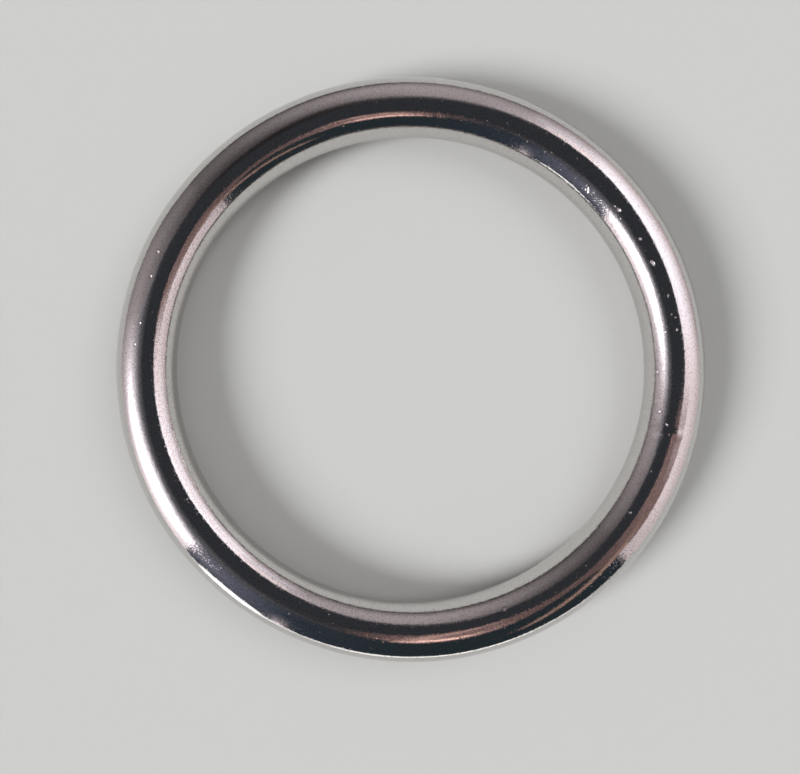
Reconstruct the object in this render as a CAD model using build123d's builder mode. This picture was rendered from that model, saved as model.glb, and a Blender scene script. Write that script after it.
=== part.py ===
"""A welded o-ring: one round bar, bent into a ring and butt-welded, lying flat.

Millimetres. The origin is the ring's centre, +Z is the ring's axis, and the weld
lies to the right of the centre, a little below +X.
"""
from build123d import *
from math import cos, pi, sqrt
import os

# Driving dimensions
inside_d = 50.8       # clear width of the eye, halfway between its longest and shortest width
bar_d = 6.35          # thickness of the round bar
out_of_round = 0.4    # how much wider the ring is across its weld than the other way
weld_angle = -14.0    # where the weld lies, in degrees round from +X
weld_length = 2.0     # length of the dressed weld along the bar
weld_swell = 0.04     # how far the dressed weld still stands proud of the bar
weld_sections = 7     # sections that shape the swell, end to end

# The bar's centre line is an oval of four quarter arcs, nearly a circle
bar_r = bar_d / 2
ring_r = (inside_d + bar_d) / 2
long_r = ring_r + out_of_round / 4
short_r = ring_r - out_of_round / 4
shift = (long_r - short_r) / (2 - sqrt(2))    # from the ring's centre to each arc's centre
end_r = long_r - shift                        # arcs at the weld and opposite it
side_r = short_r + shift                      # arcs between them
weld_arc = weld_length / end_r * 180 / pi     # the weld's length as an angle of its arc

# The ring is drawn with its weld on +X, and turned to weld_angle at the end
with BuildLine() as closed_bar:
    CenterArc((shift, 0), end_r, weld_arc / 2, 45 - weld_arc / 2)
    CenterArc((0, -shift), side_r, 45, 90)
    CenterArc((-shift, 0), end_r, 135, 90)
    CenterArc((0, shift), side_r, 225, 90)
    CenterArc((shift, 0), end_r, 315, 45 - weld_arc / 2)

with BuildPart() as ring:
    # Bent bar, from one side of the weld round to the other
    with BuildSketch(Plane(origin=closed_bar.line @ 0, z_dir=closed_bar.line % 0)):
        Circle(bar_r)
    sweep(path=closed_bar.line)

    # Dressed weld: the bar swells smoothly from nothing at each end to the middle
    for step in range(weld_sections):
        across = 2 * step / (weld_sections - 1) - 1    # -1 and 1 at the weld's ends
        place = Location((shift, 0, 0), (0, 0, across * weld_arc / 2)) * Location((end_r, 0, 0))
        swell = weld_swell * (1 + cos(pi * across)) / 2
        with BuildSketch(Plane(place) * Plane.XZ):
            Circle(bar_r + swell)
    loft()

ring.part = ring.part.rotate(Axis.Z, weld_angle)

os.makedirs("parts", exist_ok=True)
ring.part.label = "ring"
export_step(ring.part, "parts/ring.step")
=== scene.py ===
"""Looks of a welded o-ring that lies on a pale floor, seen from straight above.

Metres, in the frame of the CAD part: the ring's centre is the origin and +Z is up.
Places round the ring are degrees from +X, anticlockwise from above. Places round
the bar are degrees from its top, positive towards the outside of the ring.
Directions in the studio are an azimuth, counted as places round the ring are, and a
lean from straight up.
"""
import bpy
import numpy as np
from math import cos, pi, radians, sin, sqrt
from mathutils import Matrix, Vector


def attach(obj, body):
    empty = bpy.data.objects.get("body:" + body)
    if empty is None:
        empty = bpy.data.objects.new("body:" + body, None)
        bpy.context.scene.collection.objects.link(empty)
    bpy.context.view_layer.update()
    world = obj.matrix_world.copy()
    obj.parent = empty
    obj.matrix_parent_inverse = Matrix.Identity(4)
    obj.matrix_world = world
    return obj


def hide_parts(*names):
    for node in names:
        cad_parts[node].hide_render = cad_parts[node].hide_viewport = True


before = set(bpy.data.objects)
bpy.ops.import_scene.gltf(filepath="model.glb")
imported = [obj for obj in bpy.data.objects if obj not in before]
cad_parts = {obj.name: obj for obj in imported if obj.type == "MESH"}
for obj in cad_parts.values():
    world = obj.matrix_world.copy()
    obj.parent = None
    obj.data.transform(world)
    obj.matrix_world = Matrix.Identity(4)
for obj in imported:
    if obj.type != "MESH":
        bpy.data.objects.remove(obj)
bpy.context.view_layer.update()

MM = 0.001

# The ring's real sizes, as the CAD part has them
INSIDE_D = 50.8 * MM
BAR_D = 6.35 * MM
OUT_OF_ROUND = 0.4 * MM
WELD_ANGLE = -14.0
WELD_LENGTH = 2.0 * MM
WELD_SWELL = 0.04 * MM

BAR_R = BAR_D / 2
RING_R = (INSIDE_D + BAR_D) / 2
LONG_R = RING_R + OUT_OF_ROUND / 4
SHORT_R = RING_R - OUT_OF_ROUND / 4
SHIFT = (LONG_R - SHORT_R) / (2 - sqrt(2))
END_R = LONG_R - SHIFT
SIDE_R = SHORT_R + SHIFT
FLOOR_Z = -BAR_R - WELD_SWELL


def smooth(x, start, end):
    """0 before start and 1 after end, with an even curve between them; start may be the larger."""
    t = np.clip((x - start) / (end - start), 0, 1)
    return t * t * (3 - 2 * t)


def apart(a, b):
    """Signed difference of two directions in degrees, -180 to 180."""
    return (a - b + 180) % 360 - 180


def bump(x, width):
    """1 at 0, falling to nothing over about the width on each side."""
    return np.exp(-(x / width) ** 2)


def places(count, start, crowding):
    """Places over a whole turn from start, closer together where the crowding is larger."""
    fine = start + np.linspace(0, 360, 14401)
    total = np.concatenate([[0], np.cumsum(crowding((fine[1:] + fine[:-1]) / 2))])
    return np.interp(np.arange(count) / count * total[-1], total, fine)


def grid_mesh(name, points, round_rows=False, round_columns=False):
    """A smooth mesh of quads over a grid of points, closed round its rows or columns where it says so."""
    rows, columns = points.shape[:2]
    i, j = np.meshgrid(np.arange(rows - (not round_rows)), np.arange(columns - (not round_columns)),
                       indexing="ij")
    i2, j2 = (i + 1) % rows, (j + 1) % columns
    faces = np.stack([i * columns + j, i * columns + j2, i2 * columns + j2, i2 * columns + j], -1)
    mesh = bpy.data.meshes.new(name)
    mesh.from_pydata(points.reshape(-1, 3).tolist(), [], faces.reshape(-1, 4).tolist())
    mesh.polygons.foreach_set("use_smooth", [True] * len(mesh.polygons))
    mesh.update()
    return mesh


# Ring

AROUND_RING = 700
AROUND_BAR = 142
SEEN_IN, SEEN_OUT = -108, 72     # the stretch of the bar that the camera sees
DEEPEST = -0.35                  # where across its width a nick is deepest, -1 being its inner rim

# Nicks: place round ring, place round bar, then length, width and depth in mm, and how far the
# length is turned from the run of the bar
NICKS = [
    (45.8, -36, 0.80, 0.26, 0.060, 45),
    (46.2, -37, 0.44, 0.24, 0.050, -35),
    (39.1, -20, 0.42, 0.18, 0.050, -14),
    (37.9, -18, 0.64, 0.42, 0.085, -10),
    (36.2, -26, 0.24, 0.18, 0.035, 0),
    (30.1, -15, 0.46, 0.34, 0.070, -24),
    (24.4, -15, 0.60, 0.38, 0.080, -24),
    (23.8, -14, 0.50, 0.32, 0.070, 10),
    (16.2, -9, 0.55, 0.22, 0.045, 25),
    (12.2, -11, 0.38, 0.20, 0.040, 25),
    (11.4, -5, 0.32, 0.20, 0.040, -60),
    (8.7, -6, 0.38, 0.28, 0.055, 0),
    (-0.5, -49, 0.34, 0.26, 0.045, 30),
    (-9.7, -38, 0.28, 0.26, 0.045, 0),
    (-12.2, -21, 0.50, 0.24, 0.050, -50),
    (-14.2, -12, 0.26, 0.22, 0.040, 0),
    (-23.1, -22, 0.26, 0.20, 0.035, 0),
    (-33.4, -20, 0.50, 0.26, 0.050, 60),
    (-48.6, -17, 0.30, 0.22, 0.035, 0),
    (-69.0, -27, 0.60, 0.50, 0.030, 0),
    (-98.2, 22, 0.36, 0.22, 0.035, 0),
    (-149.2, -26, 0.52, 0.11, 0.024, 12),
    (-149.5, -21, 0.48, 0.11, 0.024, 12),
    (-154.0, -23, 0.52, 0.11, 0.024, 12),
    (-154.3, -18, 0.48, 0.11, 0.024, 12),
    (175.1, 7, 0.30, 0.26, 0.050, 0),
    (170.5, 3, 0.46, 0.24, 0.050, 40),
    (167.5, -16, 0.24, 0.22, 0.035, 0),
    (160.3, 5, 0.38, 0.32, 0.070, 0),
    (155.0, 10, 0.36, 0.34, 0.075, 0),
    (105.1, -35, 0.30, 0.24, 0.030, 0),
    (72.9, -21, 0.26, 0.22, 0.035, 0),
    (68.6, -13, 0.36, 0.20, 0.035, 30),
]

# Slow waves left by the bending: height in mm, waves round the ring, waves round the bar, start
WAVES = [(0.005, 11, 3, 40), (0.005, 17, -2, 160), (0.003, 26, 4, 250), (0.002, 41, -3, 10)]


def centre_line(from_weld):
    """Points on the bar's centre line and outward directions, for places counted from the weld."""
    quarter = np.floor((from_weld + 45) / 90).astype(int) % 4
    centre_x = np.choose(quarter, [SHIFT, 0, -SHIFT, 0])
    centre_y = np.choose(quarter, [0, -SHIFT, 0, SHIFT])
    radius = np.choose(quarter, [END_R, SIDE_R, END_R, SIDE_R])
    turn = np.radians(from_weld)
    out = np.stack([np.cos(turn), np.sin(turn)], -1)
    return np.stack([centre_x, centre_y], -1) + radius[:, None] * out, out


def mm_along(round_ring, place):
    """Distance in mm along the bar from a place round the ring."""
    return np.radians(apart(round_ring, place)) * RING_R / MM


def chip(along, across, chance):
    """Depth of a chip: 0 outside a circle of radius 1, and 1 at its deepest, with uneven walls."""
    a, b = along - chance.uniform(-0.3, 0.3), across - DEEPEST
    size = np.maximum(a * a + b * b, 1e-9)
    towards = (along - a) * a + DEEPEST * b
    inside = 1 - (along - a) ** 2 - DEEPEST ** 2
    rim = (np.sqrt(towards ** 2 + size * inside) - towards) / size    # how many times as far the rim lies
    ridges = 1 - 0.25 * np.abs(np.sin(1.5 * np.arctan2(b, a) + chance.uniform(0, 3)))
    return np.clip(1 - 1 / rim, 0, 1) * ridges


def surface_rise(round_ring, round_bar):
    """Height over the plain bar, from swell, waves and nicks, and how chipped the surface is, 0 to 1."""
    from_weld = mm_along(round_ring, WELD_ANGLE) * MM / (WELD_LENGTH / 2)
    rise = WELD_SWELL * (1 + np.cos(pi * np.clip(from_weld, -1, 1))) / 2
    rise = rise * (1 - 0.8 * bump(round_bar + 70, 60))    # dressed flatter inside the ring
    for height, round_waves, bar_waves, start in WAVES:
        turn = np.radians(round_waves * round_ring + bar_waves * round_bar + start)
        rise = rise + height * MM * (np.sin(turn) - 1) / 2
    chance = np.random.default_rng(7)
    chipped = np.zeros_like(rise)
    for place, bar_place, length, width, depth, lean in NICKS:
        u = mm_along(round_ring, place)
        v = np.radians(round_bar - bar_place) * BAR_R / MM
        c, s = cos(radians(lean)), sin(radians(lean))
        along, across = (u * c + v * s) / (length / 2), (v * c - u * s) / (width / 2)
        cut = chip(along, across, chance)
        rise = rise - depth * MM * (cut - 0.10 * bump(np.hypot(along, across) - 1.15, 0.2))
        chipped = np.maximum(chipped, smooth(cut, 0.05, 0.30) * min(depth / 0.05, 1))
    return rise, chipped


def ring_mesh():
    """The whole bar as one closed mesh of quads, with UVs in metres along and round the bar."""
    def ring_crowding(turn):
        near_nicks = sum(120 * nick[4] * bump(mm_along(turn, nick[0]), 0.5) for nick in NICKS)
        return 1 + 3 * bump(mm_along(turn, WELD_ANGLE), 1.0) + near_nicks

    def bar_crowding(place):
        seen = smooth(place, SEEN_IN - 10, SEEN_IN) * smooth(place, SEEN_OUT + 10, SEEN_OUT)
        return 0.8 + 2.0 * seen + 4.0 * bump(place + 14, 26)

    rings = places(AROUND_RING, WELD_ANGLE, ring_crowding)
    bars = places(AROUND_BAR, -180, bar_crowding)
    middle, out = centre_line(rings - WELD_ANGLE)
    turn, place = np.meshgrid(rings, bars, indexing="ij")
    rise, chipped = surface_rise(turn, place)
    radius = BAR_R + rise
    reach = radius * np.sin(np.radians(place))
    x = middle[:, None, 0] + reach * out[:, None, 0]
    y = middle[:, None, 1] + reach * out[:, None, 1]
    c, s = cos(radians(WELD_ANGLE)), sin(radians(WELD_ANGLE))
    points = np.stack([x * c - y * s, x * s + y * c, radius * np.cos(np.radians(place))], -1)
    mesh = grid_mesh("ring", points, round_rows=True, round_columns=True)
    mesh.attributes.new("chipped", "FLOAT", "POINT").data.foreach_set("value", chipped.ravel())

    along = np.radians(np.append(rings, rings[0] + 360)) * RING_R
    across = np.radians(np.append(bars, bars[0] + 360)) * BAR_R
    i, j = np.meshgrid(np.arange(AROUND_RING), np.arange(AROUND_BAR), indexing="ij")
    corners = [np.stack([along[i + a], across[j + b]], -1) for a, b in ((0, 0), (0, 1), (1, 1), (1, 0))]
    layer = mesh.uv_layers.new(name="along_and_round")
    layer.data.foreach_set("uv", np.stack(corners, 2).ravel())
    return mesh


# Materials

def new_material(name):
    """A node material with only its output, and its node tree."""
    material = bpy.data.materials.new(name)
    material.use_nodes = True
    material.node_tree.nodes.clear()
    output = material.node_tree.nodes.new("ShaderNodeOutputMaterial")
    return material, material.node_tree, output


def node(tree, kind, inputs=(), **settings):
    """Adds a node, with its settings and its inputs: a value, or a socket to link from."""
    made = tree.nodes.new(kind)
    for key, value in settings.items():
        setattr(made, key, value)
    for key, value in dict(inputs).items():
        if isinstance(value, bpy.types.NodeSocket):
            tree.links.new(value, made.inputs[key])
        else:
            made.inputs[key].default_value = value
    return made


NICKEL = (0.66, 0.645, 0.63, 1)        # colour of the bright nickel plating
THIN_NICKEL = (0.40, 0.34, 0.30, 1)
DARK_GRAIN = (0.44, 0.42, 0.41, 1)
PINHOLE = (0.26, 0.21, 0.18, 1)
CHIP = (0.92, 0.90, 0.88, 1)
FLAKE_TILT = 0.42


def nickel():
    """Bright nickel plating: a mirror with a fine grain, flakes that glint, darker grains and pinholes."""
    material, tree, output = new_material("nickel_plate")
    where = node(tree, "ShaderNodeTexCoord")

    def noise(scale, vector=where.outputs["Object"]):
        return node(tree, "ShaderNodeTexNoise",
                    {"Vector": vector, "Scale": scale, "Detail": 2.0}).outputs[0]

    def along_bar(along, across):
        """Places on the bar, counted in texture cells per metre along it and round it."""
        return node(tree, "ShaderNodeMapping",
                    {"Vector": where.outputs["UV"], "Scale": (along, across, 1)}).outputs[0]

    def fade(value, low, high, to_low=0.0, to_high=1.0):
        return node(tree, "ShaderNodeMapRange",
                    {0: value, 1: low, 2: high, 3: to_low, 4: to_high}).outputs[0]

    def times(a, b):
        return node(tree, "ShaderNodeMath", {0: a, 1: b}, operation="MULTIPLY").outputs[0]

    def plus(a, b):
        return node(tree, "ShaderNodeMath", {0: a, 1: b}, operation="ADD").outputs[0]

    def vector(operation, a, b):
        return node(tree, "ShaderNodeVectorMath", {0: a, 1: b}, operation=operation).outputs[0]

    def mixed(share, colour, other):
        return node(tree, "ShaderNodeMix", {0: share, 6: colour, 7: other}, data_type="RGBA").outputs[2]

    # Heights in mm: a soft peel, a grain drawn out along the bar, fine lines, and pinholes
    peel = noise(900)
    grain = noise(1.0, along_bar(1400, 3500))
    lines = noise(1.0, along_bar(90, 7000))
    holes = node(tree, "ShaderNodeTexVoronoi", {"Vector": where.outputs["Object"], "Scale": 1100.0})
    pinholes = fade(holes.outputs["Distance"], 0.03, 0.08, 1.0, 0.0)
    height = plus(plus(times(peel, 0.0016), times(grain, 0.0030)),
                  plus(times(lines, 0.0012), times(pinholes, -0.012)))
    surface = node(tree, "ShaderNodeBump", {"Height": height, "Strength": 1.0, "Distance": MM})

    # Tiny flakes of the plating lean this way and that, a few of them far, and glint near a bright panel
    flakes = node(tree, "ShaderNodeTexVoronoi", {"Vector": where.outputs["Object"], "Scale": 16000.0})
    tilt = vector("SUBTRACT", flakes.outputs["Color"], (0.5, 0.5, 0.5))
    steep = node(tree, "ShaderNodeVectorMath", {0: tilt, 1: tilt}, operation="DOT_PRODUCT").outputs["Value"]
    far = times(times(steep, steep), FLAKE_TILT)
    tilt = node(tree, "ShaderNodeVectorMath", {0: tilt, 3: far}, operation="SCALE")
    faced = node(tree, "ShaderNodeVectorMath", {0: vector("ADD", surface.outputs[0], tilt.outputs[0])},
                 operation="NORMALIZE").outputs[0]

    # Chipped places are dull, and small grains are darker
    chipped = node(tree, "ShaderNodeAttribute", attribute_name="chipped").outputs["Fac"]
    roughness = fade(chipped, 0, 1, 0.055, 0.42)
    dots = node(tree, "ShaderNodeTexVoronoi", {"Vector": where.outputs["Object"], "Scale": 5200.0})
    dark_grains = fade(dots.outputs["Distance"], 0.24, 0.30, 1.0, 0.0)

    # Thin plating is a little brown, most of all inside the ring on its left, and so are the pinholes
    place = node(tree, "ShaderNodeSeparateXYZ", {0: where.outputs["Object"]})
    from_axis = vector("MULTIPLY", where.outputs["Object"], (1, 1, 0))
    reach = node(tree, "ShaderNodeVectorMath", {0: from_axis}, operation="LENGTH").outputs["Value"]
    worn = times(fade(reach, 28.0 * MM, 27.2 * MM), fade(place.outputs[0], -17 * MM, -24 * MM, 0.1, 1.0))
    thin = times(fade(noise(6500), 0.44, 0.66), fade(worn, 0, 1, 0.22, 0.42))
    colour = mixed(thin, NICKEL, THIN_NICKEL)
    colour = mixed(dark_grains, colour, DARK_GRAIN)
    colour = mixed(times(pinholes, 0.75), colour, PINHOLE)
    colour = mixed(chipped, colour, CHIP)
    metal = node(tree, "ShaderNodeBsdfPrincipled",
                 {"Base Color": colour, "Metallic": 1.0, "Roughness": roughness, "Normal": faced})
    tree.links.new(metal.outputs[0], output.inputs[0])
    return material


def plain(name, colour):
    """A matt surface of one colour, for the floor."""
    material, tree, output = new_material(name)
    matt = node(tree, "ShaderNodeBsdfDiffuse", {"Color": (*colour, 1)})
    tree.links.new(matt.outputs[0], output.inputs[0])
    return material


def glowing():
    """A surface that shines with the colours stored on its mesh, and is as clear as their alpha says."""
    material, tree, output = new_material("studio_glow")
    stored = node(tree, "ShaderNodeVertexColor", layer_name="glow")
    glow = node(tree, "ShaderNodeEmission", {"Color": stored.outputs[0]})
    clear = node(tree, "ShaderNodeBsdfTransparent")
    mix = node(tree, "ShaderNodeMixShader",
               {0: stored.outputs[1], 1: clear.outputs[0], 2: glow.outputs[0]})
    tree.links.new(mix.outputs[0], output.inputs[0])
    return material


def add(name, mesh, material):
    """Puts a mesh in the scene as an object of that name."""
    mesh.materials.append(material)
    piece = bpy.data.objects.new(name, mesh)
    bpy.context.scene.collection.objects.link(piece)
    return piece


ring = add("ring_bar", ring_mesh(), nickel())
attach(ring, "root")
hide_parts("ring")


# Studio: a pale floor and two lamps, and panels that only the metal shows

GLOW = glowing()


def panel(name, points, glow, cover, closed=False):
    """A glowing grid of points that the metal shows, but which gives and stops no light elsewhere."""
    mesh = grid_mesh(name, points, round_rows=closed)
    colours = np.concatenate([glow, cover[..., None]], -1)
    mesh.color_attributes.new("glow", "FLOAT_COLOR", "POINT").data.foreach_set("color", colours.ravel())
    piece = add(name, mesh, GLOW)
    piece.visible_camera = False
    piece.visible_diffuse = False
    piece.visible_shadow = False
    piece.visible_transmission = False
    piece.visible_volume_scatter = False


TENT_R = 0.35

# Azimuths where one panel of the tent meets the next, and of the bright strip in the front one
RIGHT_END = 48
STRIP_END = 61
BACK_END = 140
LEFT_END = 219
SLIT_AT = 242.5
FRONT_END = 318

ROSE = np.array([1.0, 0.86, 0.90])
MAUVE = np.array([1.0, 0.88, 0.93])
LILAC = np.array([1.0, 0.94, 1.03])


def tent_glow(azimuth, lean):
    """Brightness of the tent in a direction, panel by panel."""
    def over(below, colour, cover):
        return below + (colour - below) * cover[..., None]

    def between(start, end):
        half = apart(end, start) % 360 / 2
        return smooth(np.abs(apart(azimuth, start + half)), half + 0.2, half - 0.2)

    # Grey wall behind, dimmest near 137 degrees, and the lighter wall left of it
    back = 0.182 + 0.305 * smooth(azimuth, 137, 88) + 0.20 * smooth(azimuth, 76, 62) * smooth(lean, 70, 42)
    left = 0.24 + 0.18 * smooth(azimuth, 141, 166) + 0.25 * smooth(azimuth, 164, 180)
    left = left + 0.60 * smooth(azimuth, 184, 216)
    walls = back + (left - back) * between(BACK_END, LEFT_END)
    dimmer = 0.35 - 0.25 * smooth(azimuth, 102, 84) + 0.30 * bump(azimuth - 120, 26)
    walls = walls * (1 - dimmer * smooth(lean, 60, 20))
    walls = walls * (1 - 0.35 * smooth(azimuth, 86, 96) * smooth(azimuth, 140, 130) * smooth(lean, 80, 90))
    over_back = smooth(azimuth, 84, 100) * smooth(azimuth, 152, 140)
    walls = walls * (1 - 0.75 * over_back * smooth(lean - 10 * smooth(azimuth, 132, 110), 26, 13))
    foot = (0.25 + 0.35 * smooth(azimuth, 136, 104)) * smooth(azimuth, 190, 178)
    walls = walls * (1 - foot * smooth(lean, 66, 92))
    glow = walls[..., None] * MAUVE

    # Bright wall on the right, brightest high up, with a dimmer strip beside it
    turn = apart(azimuth, 0)
    top = 0.76 + 0.32 * smooth(turn, -40, -24) + 0.46 * smooth(turn, -12, 22)
    low = 0.80 - 0.30 * smooth(turn, -10, 40)
    right = low + (top - low) * smooth(lean, 88, 56)
    tint = ROSE + (LILAC - ROSE) * (smooth(lean, 58, 44) * smooth(turn, -4, 20))[..., None]
    glow = over(glow, right[..., None] * tint, between(FRONT_END, RIGHT_END))
    strip = (0.27 + 1.12 * smooth(lean, 88, 44)) * (1 - 0.22 * smooth(azimuth, 52, 60))
    glow = over(glow, strip[..., None] * ROSE, between(RIGHT_END, STRIP_END))

    # Lamps: the key on the left and a weak one on the right
    key = 6.0 * bump(np.hypot(apart(azimuth, 201) / 14.6, (lean - 51) / 15), 1)
    fill = 0.25 * bump(np.hypot(apart(azimuth, 30) / 20, (lean - 44) / 10), 1)
    glow = glow + (key * between(150, LEFT_END) + fill * between(330, RIGHT_END))[..., None] * LILAC

    # Dark gap in front, paler beside the key, with a thin bright strip in it
    near_key = smooth(azimuth, 278, 225)[..., None]
    navy = np.array([0.025, 0.036, 0.043]) + near_key * np.array([0.020, 0.021, 0.036])
    paler = smooth(azimuth, 246, 232) * smooth(lean, 96, 66)
    navy = navy + paler[..., None] * np.array([0.080, 0.076, 0.100])
    navy = navy + (0.16 * bump(azimuth - 220, 7) * bump(lean - 52, 16))[..., None] * LILAC
    slit = (0.60 * smooth(lean, 42, 90) + 0.9 * smooth(lean, 78, 90)) * bump(apart(azimuth, SLIT_AT), 1.3)
    return over(glow, navy + slit[..., None] * ROSE, between(LEFT_END, FRONT_END))


def tent():
    """Half a globe over the floor."""
    def crowding(turn):
        fine_at = [RIGHT_END, STRIP_END, BACK_END, LEFT_END, SLIT_AT, FRONT_END]
        return 1 + sum(12 * bump(apart(turn, place), 0.8) for place in fine_at)

    turn, lean = np.meshgrid(places(800, 0, crowding), np.arange(0.0, 91.0, 1.0), indexing="ij")
    across = TENT_R * np.sin(np.radians(lean))
    points = np.stack([across * np.cos(np.radians(turn)), across * np.sin(np.radians(turn)),
                       TENT_R * np.cos(np.radians(lean)) + FLOOR_Z], -1)
    panel("tent", points, tent_glow(turn, lean), np.ones_like(turn), closed=True)


CARD_GLOW = np.array([0.038, 0.041, 0.048])

# The dark card over the ring: azimuth, and the reach and softness of its edge there in mm
CARD = [(0, 79, 5), (15, 80, 2), (30, 89, 3), (45, 106, 5), (60, 102, 8), (75, 89, 22), (90, 78, 22),
        (105, 50, 14), (120, 38, 10), (135, 40, 10), (150, 56, 16), (162, 70, 10), (170, 106, 16),
        (180, 125, 20), (190, 130, 16), (200, 112, 14), (210, 116, 14), (216, 126, 12), (222, 84, 14),
        (240, 68, 10), (255, 66, 8), (270, 64, 8), (285, 62, 6), (300, 58, 5), (315, 57, 4), (330, 60, 4),
        (345, 70, 6)]

# Beside the key the card brightens outwards: azimuth, by how much, and the reaches in mm where that
# starts and ends
CARD_RISE = [(150, 0, 46, 66), (160, 0.25, 46, 66), (170, 0.22, 56, 105), (180, 0.75, 52, 132),
             (190, 1.5, 55, 143), (200, 1.5, 52, 118), (210, 1.5, 56, 124), (216, 1.5, 62, 138),
             (222, 0, 66, 138)]


def dark_card():
    """A level card with soft edges, above the camera."""
    turn = np.arange(0.0, 360.0, 2.0)
    places_of, *edge = np.array(CARD, float).T
    reach, soft = (np.interp(turn, places_of, column, period=360)[:, None] for column in edge)
    places_of, *rise = np.array(CARD_RISE, float).T
    most, start, end = (np.interp(turn, places_of, column)[:, None] for column in rise)
    radii = np.linspace(0, 1, 40) * (reach + soft)
    haze = 0.10 * (smooth(turn, 152, 175) * smooth(turn, 262, 217))[:, None] * smooth(radii, 22, 62)
    glow = CARD_GLOW + (haze + most * smooth(radii, start, end))[..., None] * LILAC
    height = (118 + 17 * smooth(turn, 160, 180) * smooth(turn, 236, 220))[:, None] * np.ones_like(radii)
    across = np.radians(turn)[:, None]
    points = np.stack([radii * np.cos(across), radii * np.sin(across), height], -1) * MM
    panel("dark_card", points, glow, smooth(radii, reach + soft, reach - soft), closed=True)


RIBBON_Z = 88
RIBBON_GLOW = 0.42 * np.array([1.0, 0.64, 0.54])

# The spine of the warm-coloured strip beside the card: x, y and half width in mm, and cover
RIBBON = [(56, -30, 10, 0), (65, -56, 12, 0.9), (70, -85, 13, 1), (73, -126, 15, 1), (75, -160, 15, 1),
          (76, -182, 12, 0)]


def warm_ribbon():
    """A level strip with soft edges."""
    x, y, half, cover = np.array(RIBBON, float).T
    run = np.stack([np.gradient(x), np.gradient(y)], 1)
    side = np.stack([-run[:, 1], run[:, 0]], 1) / np.linalg.norm(run, axis=1)[:, None]
    across = np.linspace(-1, 1, 9)
    offset = half[:, None] * across
    points = np.stack([x[:, None] + offset * side[:, :1], y[:, None] + offset * side[:, 1:],
                       np.full_like(offset, RIBBON_Z)], -1) * MM
    cover = cover[:, None] * smooth(np.abs(across), 1.0, 0.35)
    panel("warm_ribbon", points, np.ones_like(points) * RIBBON_GLOW, cover)


WARM_Z = 88.5 * MM
COPPER = np.array([1.0, 0.63, 0.55])
BROWN = np.array([1.0, 0.66, 0.64])

# The warm-coloured panel: azimuth, and the reaches in mm where it starts and ends
WARM = [(250, 27, 58), (262, 26, 58), (268, 24, 74), (276, 22, 76), (288, 24, 73), (294, 28, 64),
        (300, 31, 60), (306, 33, 60), (310, 33, 62), (318, 32, 90), (324, 29, 110), (332, 34, 114),
        (344, 33, 114), (350, 40, 114), (356, 50, 114), (366, 55, 114)]


def warm_band():
    """A level warm-coloured panel under the card's front edge, streaked, with one bright end."""
    turn, reach = np.meshgrid(np.arange(250.0, 366.0), np.arange(22.0, 132.0, 0.75), indexing="ij")
    places_of, *ends = np.array(WARM, float).T
    near, far = (np.interp(turn, places_of, column) for column in ends)
    cover = smooth(turn, 252, 266) * smooth(turn, 360, 340)
    cover = cover * smooth(reach, near - 1, near + 5) * smooth(reach, far + 4, far - 3)
    streaks = np.sin(2 * pi * (reach - 0.4 * (turn - 300)) / 12)
    streaks = streaks + 0.6 * np.sin(2 * pi * (reach + 0.2 * turn) / 7.3)
    brown = 0.17 + 0.13 * smooth(turn, 312, 340) + 0.10 * bump(turn - 287, 6)
    brown = brown * (1 + 0.42 * streaks * smooth(turn, 280, 296))
    bright = 1.65 * smooth(turn, 263.5, 273) * smooth(turn, 288, 277) * bump(reach - 63.5, 6.5)
    slanted = reach - 37 + 1.2 * (turn - 276)
    bright = bright + 0.55 * smooth(turn, 266, 275) * smooth(turn, 289, 281) * bump(slanted, 7)
    bright = bright + 0.42 * bump(np.hypot((turn - 273) / 5, (reach - 50) / 8), 1)
    pale = 0.13 * smooth(turn, 334, 342) * smooth(reach, 64, 76)
    x, y = reach * np.cos(np.radians(turn)), reach * np.sin(np.radians(turn))
    points = np.stack([x * MM, y * MM, np.full_like(x, WARM_Z)], -1)
    glow = brown[..., None] * BROWN + bright[..., None] * COPPER + pale[..., None] * LILAC
    panel("warm_band", points, glow, cover)


def low_panel():
    """A small white oval that stands on the floor beside the key, 75 mm out."""
    out = np.array([cos(radians(231)), sin(radians(231)), 0])
    up = np.array([0, 0, 1])
    turn, size = np.meshgrid(np.arange(0.0, 360.0, 15.0), [0.0, 0.8, 1.0], indexing="ij")
    sideways = 11.5 * size * np.cos(np.radians(turn))
    upwards = 1.8 + 11.3 * size * np.sin(np.radians(turn))
    points = 75 * out + sideways[..., None] * np.cross(up, out) + upwards[..., None] * up
    panel("low_panel", points * MM, np.full(points.shape, 2.2), smooth(size, 1.0, 0.8), closed=True)


def near_wall():
    """The foot of the bright wall on the right, 108 mm out."""
    turn, height = np.meshgrid(np.arange(-4.0, 67.0), np.arange(0.0, 85.0, 4.0), indexing="ij")
    level = np.interp(height, [0, 14, 31, 54, 84], [0.45, 0.72, 1.05, 1.38, 1.52])
    level = level * (0.95 + 0.10 * smooth(turn, 8, 28))
    level = level * (1 - 0.33 * smooth(turn, 46, 53) - 0.14 * smooth(turn, 54, 60))
    cover = smooth(turn, -4, 12) * smooth(turn, 65, 62) * smooth(height, 82, 58)
    across = np.radians(turn)
    points = np.stack([108 * np.cos(across), 108 * np.sin(across), height + FLOOR_Z / MM], -1)
    tint = ROSE + (LILAC - ROSE) * smooth(height, 15, 60)[..., None]
    panel("near_wall", points * MM, level[..., None] * tint, cover)


# Brightness of the ground in front, by azimuth
GROUND = [(214, 1.0), (220, 1.1), (230, 1.9), (240, 1.4), (248, 1.0), (255, 1.5), (262, 1.9), (280, 2.1),
          (290, 1.7), (300, 1.4), (310, 0.9), (318, 0.5)]


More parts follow.
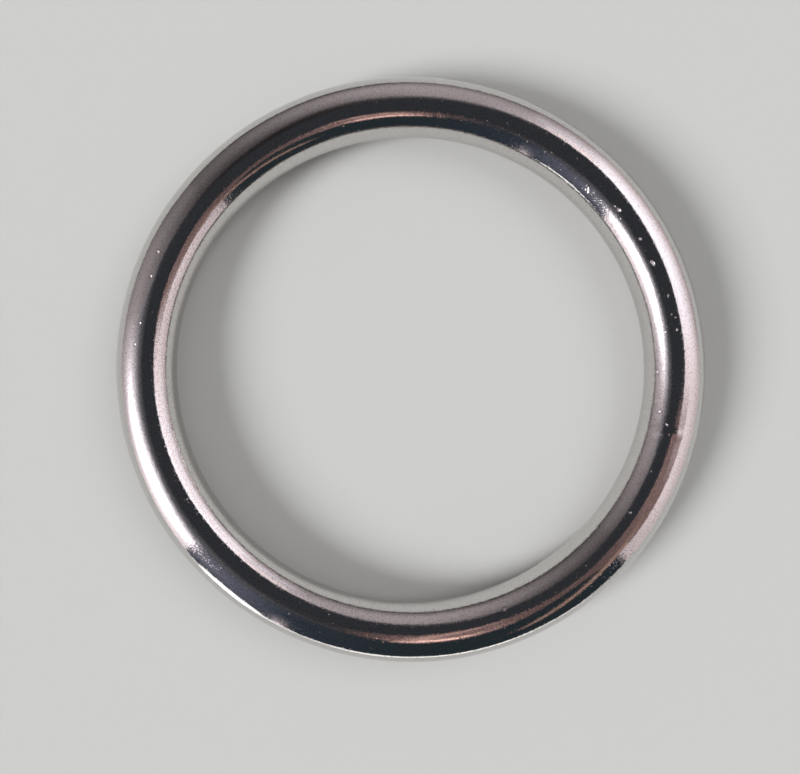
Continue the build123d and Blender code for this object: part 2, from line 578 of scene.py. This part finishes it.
def far_floor():
    """Ground that the metal shows as thin lines at its foot: bright in front, dark at the wall behind."""
    reaches = [60.0, 64, 68, 75, 90, 105, 125, 150, 200, 340]
    turn, reach = np.meshgrid(np.arange(84.0, 321.0, 2.0), reaches, indexing="ij")
    places_of, levels = np.array(GROUND, float).T
    level = np.interp(turn, places_of, levels, left=0.03)
    level = level * (1 - 0.95 * smooth(turn, 255, 268) * smooth(reach, 88, 125))
    cover = smooth(reach, 60, 68) * smooth(turn, 216, 226) * smooth(turn, 318, 306)
    cover = cover + 0.8 * smooth(reach, 100, 150) * smooth(turn, 86, 96) * smooth(turn, 138, 126)
    points = np.stack([reach * np.cos(np.radians(turn)) * MM, reach * np.sin(np.radians(turn)) * MM,
                       np.full_like(reach, FLOOR_Z + 0.5 * MM)], -1)
    panel("far_floor", points, level[..., None] * np.array([1.0, 1.0, 0.99]), cover)


tent()
dark_card()
warm_band()
low_panel()
near_wall()
far_floor()
warm_ribbon()

FLOOR_HALF = 3.0
corners = [[(x, y, FLOOR_Z) for x in (-FLOOR_HALF, FLOOR_HALF)] for y in (-FLOOR_HALF, FLOOR_HALF)]
add("floor", grid_mesh("floor", np.array(corners)), plain("floor", (0.62, 0.62, 0.61)))


def lamp(name, azimuth, lean, size, share):
    """A far, soft lamp that gives a level floor its share of full light. The metal doesn't show it."""
    light = bpy.data.lights.new(name, "SUN")
    light.angle = radians(size)
    light.energy = share * pi / cos(radians(lean))
    lit = bpy.data.objects.new(name, light)
    a, e = radians(azimuth), radians(lean)
    lit.rotation_euler = Vector((sin(e) * cos(a), sin(e) * sin(a), cos(e))).to_track_quat("Z", "Y").to_euler()
    lit.visible_glossy = False
    bpy.context.scene.collection.objects.link(lit)


# The shares of lamps and sky add up to full light
SKY_SHARE = 0.34
lamp("key", azimuth=203, lean=55, size=24, share=0.50)
lamp("fill", azimuth=28, lean=42, size=40, share=0.16)


def world_light():
    """Even daylight on the set, and a pale background for the camera."""
    world = bpy.data.worlds.new("studio")
    world.use_nodes = True
    tree = world.node_tree
    tree.nodes.clear()
    output = tree.nodes.new("ShaderNodeOutputWorld")
    path = node(tree, "ShaderNodeLightPath")
    seen = path.outputs["Is Camera Ray"]
    for ray in ("Is Glossy Ray", "Is Transmission Ray"):
        seen = node(tree, "ShaderNodeMath", {0: seen, 1: path.outputs[ray]}, operation="MAXIMUM").outputs[0]
    light = node(tree, "ShaderNodeBackground", {"Color": (1, 1, 1, 1), "Strength": SKY_SHARE})
    pale = node(tree, "ShaderNodeBackground", {"Color": (0.66, 0.66, 0.65, 1), "Strength": 1.0})
    mix = node(tree, "ShaderNodeMixShader", {0: seen, 1: light.outputs[0], 2: pale.outputs[0]})
    tree.links.new(mix.outputs[0], output.inputs[0])
    bpy.context.scene.world = world


world_light()


# Camera, straight above the ring, with the ring placed in the frame as in the photograph

PHOTO = (800, 774)
RING_CENTRE_PX = (410.5, 369.4)
RING_R_PX = 262.7           # the bar's centre line
CAMERA_HEIGHT = 89 * MM     # above the bar's centre line
SENSOR = 36.0

camera_data = bpy.data.cameras.new("camera")
camera_data.sensor_width = SENSOR
camera_data.lens = RING_R_PX * CAMERA_HEIGHT / RING_R * SENSOR / PHOTO[0]
camera_data.shift_x = (PHOTO[0] / 2 - RING_CENTRE_PX[0]) / PHOTO[0]
camera_data.shift_y = (RING_CENTRE_PX[1] - PHOTO[1] / 2) / PHOTO[0]
camera_data.clip_start = 0.005
camera = bpy.data.objects.new("camera", camera_data)
camera.location = (0, 0, CAMERA_HEIGHT)
bpy.context.scene.collection.objects.link(camera)
bpy.context.scene.camera = camera
bpy.context.scene.view_settings.view_transform = "Standard"
